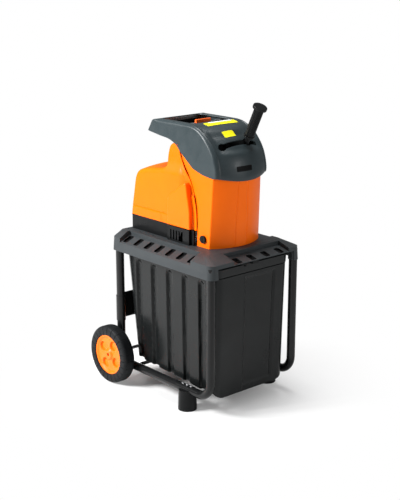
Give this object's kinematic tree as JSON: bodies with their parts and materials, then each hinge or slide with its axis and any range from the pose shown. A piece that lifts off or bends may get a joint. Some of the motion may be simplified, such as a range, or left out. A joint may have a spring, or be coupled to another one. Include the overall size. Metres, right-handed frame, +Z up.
{
  "type": "wood chipper",
  "caption": "Upright electric garden shredder on a wheeled tube frame, with a hooded feed hopper, tamper, motor housing, slotted deck and slide-out collection box.",
  "frame": {"origin": "centre of the bounding box in X and Y, at the ground plane", "axes": "+Z up, -Y to the front of the machine where the box slides out and the hood rises, +X along the wheel axle"},
  "size_m": [0.4856, 0.5824, 0.9847],
  "materials": {
    "frame_black": "semi-gloss black powder coat",
    "shell_orange": "smooth satin injection moulding",
    "hub_orange": "satin moulding",
    "flap_orange": "satin moulding",
    "hood_grey": "fine-grained moulding",
    "deck_grey": "fine-grained moulding",
    "box_black": "glossy near-black moulding",
    "black_plastic": "fine-grained moulding",
    "tyre": "ribbed solid tyre",
    "steel": "zinc-plated steel",
    "tool_steel": "ground hardened steel",
    "aluminium": "as die-cast",
    "core_steel": "stacked lamination",
    "copper": "enamelled copper wire",
    "brass": "turned",
    "button_green": "moulded",
    "button_red": "moulded",
    "button_black": "moulded"
  },
  "bodies": {
    "chassis": {"axle": "steel", "axle_washers": "steel", "bearings": "steel", "crossbars": "frame_black", "cutting_chamber": "aluminium", "deck": "deck_grey", "feed_chute": "black_plastic", "flap_pin": "steel", "foot_screws": "steel", "front_feet": "black_plastic", "gearbox_bolts": "steel", "gearbox_housing": "aluminium", "gearbox_lid": "aluminium", "hood": "hood_grey", "interlock_switch": "black_plastic", "left_front_tube": "frame_black", "left_rear_tube": "frame_black", "motor_base": "black_plastic", "motor_cover": "shell_orange", "motor_cradle": "steel", "motor_end_bells": "aluminium", "motor_stator": "core_steel", "motor_windings": "copper", "power_inlet": "black_plastic", "rear_cross_plate": "frame_black", "right_front_tube": "frame_black", "right_rear_tube": "frame_black", "run_capacitor": "black_plastic", "switch_body": "black_plastic", "switch_panel": "black_plastic", "tower_shell": "shell_orange", "tube_joiners": "steel"},
    "left_wheel": {"left_tyre": "tyre", "left_hub": "hub_orange"},
    "right_wheel": {"right_tyre": "tyre", "right_hub": "hub_orange"},
    "box": {"box_body": "box_black", "box_rim": "box_black", "box_front_panel": "box_black"},
    "lock": {"lock_slider": "black_plastic"},
    "flap": {"feed_flap": "flap_orange"},
    "tamper": {"tamper_blade": "black_plastic", "tamper_collar": "black_plastic", "tamper_grip": "black_plastic", "tamper_knob": "black_plastic"},
    "cutter": {"cutter_shaft": "tool_steel", "cutter_roller": "tool_steel", "roller_nut": "steel", "output_gear": "tool_steel"},
    "idler": {"idler_gear": "tool_steel"},
    "rotor": {"motor_rotor": "core_steel", "rotor_shaft": "tool_steel", "cooling_fan": "black_plastic"},
    "plate": {"pressure_plate": "aluminium"},
    "adjuster": {"adjuster_screw": "steel", "adjuster_knob": "black_plastic"},
    "on_switch": {"on_button": "button_green"},
    "off_switch": {"off_button": "button_red"},
    "reset_switch": {"reset_button": "button_black"}
  },
  "joints": [
    {"name": "left_wheel_spin", "type": "hinge", "parent": "chassis", "child": "left_wheel", "pos_m": [-0.22, 0.19125, 0.1], "axis": [1, 0, 0], "continuous": true},
    {"name": "right_wheel_spin", "type": "hinge", "parent": "chassis", "child": "right_wheel", "pos_m": [0.22, 0.19125, 0.1], "axis": [1, 0, 0], "continuous": true},
    {"name": "box_slide", "type": "slide", "parent": "chassis", "child": "box", "axis": [0, -1, 0], "range_m": [0, 0.42]},
    {"name": "lock_slide", "type": "slide", "parent": "chassis", "child": "lock", "axis": [1, 0, 0], "range_m": [0, 0.01]},
    {"name": "flap_swing", "type": "hinge", "parent": "chassis", "child": "flap", "pos_m": [0, -0.028, 0.903], "axis": [1, 0, 0], "range_deg": [-70, 70]},
    {"name": "tamper_slide", "type": "slide", "parent": "chassis", "child": "tamper", "axis": [0, -0.4471, 0.8945], "range_m": [0, 0.25]},
    {"name": "cutter_spin", "type": "hinge", "parent": "chassis", "child": "cutter", "pos_m": [0.008, 0, 0.59], "axis": [0, 1, 0], "continuous": true},
    {"name": "idler_spin", "type": "hinge", "parent": "chassis", "child": "idler", "pos_m": [0.04389, 0, 0.63556], "axis": [0, 1, 0], "continuous": true},
    {"name": "rotor_spin", "type": "hinge", "parent": "chassis", "child": "rotor", "pos_m": [0, 0, 0.655], "axis": [0, 1, 0], "continuous": true},
    {"name": "knob_turn", "type": "hinge", "parent": "chassis", "child": "adjuster", "pos_m": [-0.1, -0.1555, 0.556], "axis": [1, 0, 0], "range_deg": [-721, 1]},
    {"name": "plate_slide", "type": "slide", "parent": "chassis", "child": "plate", "axis": [1, 0, 0], "range_m": [-0.003, 0]},
    {"name": "on_press", "type": "slide", "parent": "chassis", "child": "on_switch", "axis": [0, -0.9656, -0.2599], "range_m": [0, 0.003], "stiffness_N_per_m": 400},
    {"name": "off_press", "type": "slide", "parent": "chassis", "child": "off_switch", "axis": [0, -0.9656, -0.2599], "range_m": [0, 0.003], "stiffness_N_per_m": 400},
    {"name": "reset_press", "type": "slide", "parent": "chassis", "child": "reset_switch", "axis": [0, -0.9656, -0.2599], "range_m": [0, 0.003], "stiffness_N_per_m": 400}
  ],
  "couplings": [
    {"joint": "idler_spin", "follows": "cutter_spin", "ratio": -3.4615},
    {"joint": "rotor_spin", "follows": "cutter_spin", "ratio": 15},
    {"joint": "knob_turn", "follows": "plate_slide", "rad_per_m": 4188.8}
  ]
}
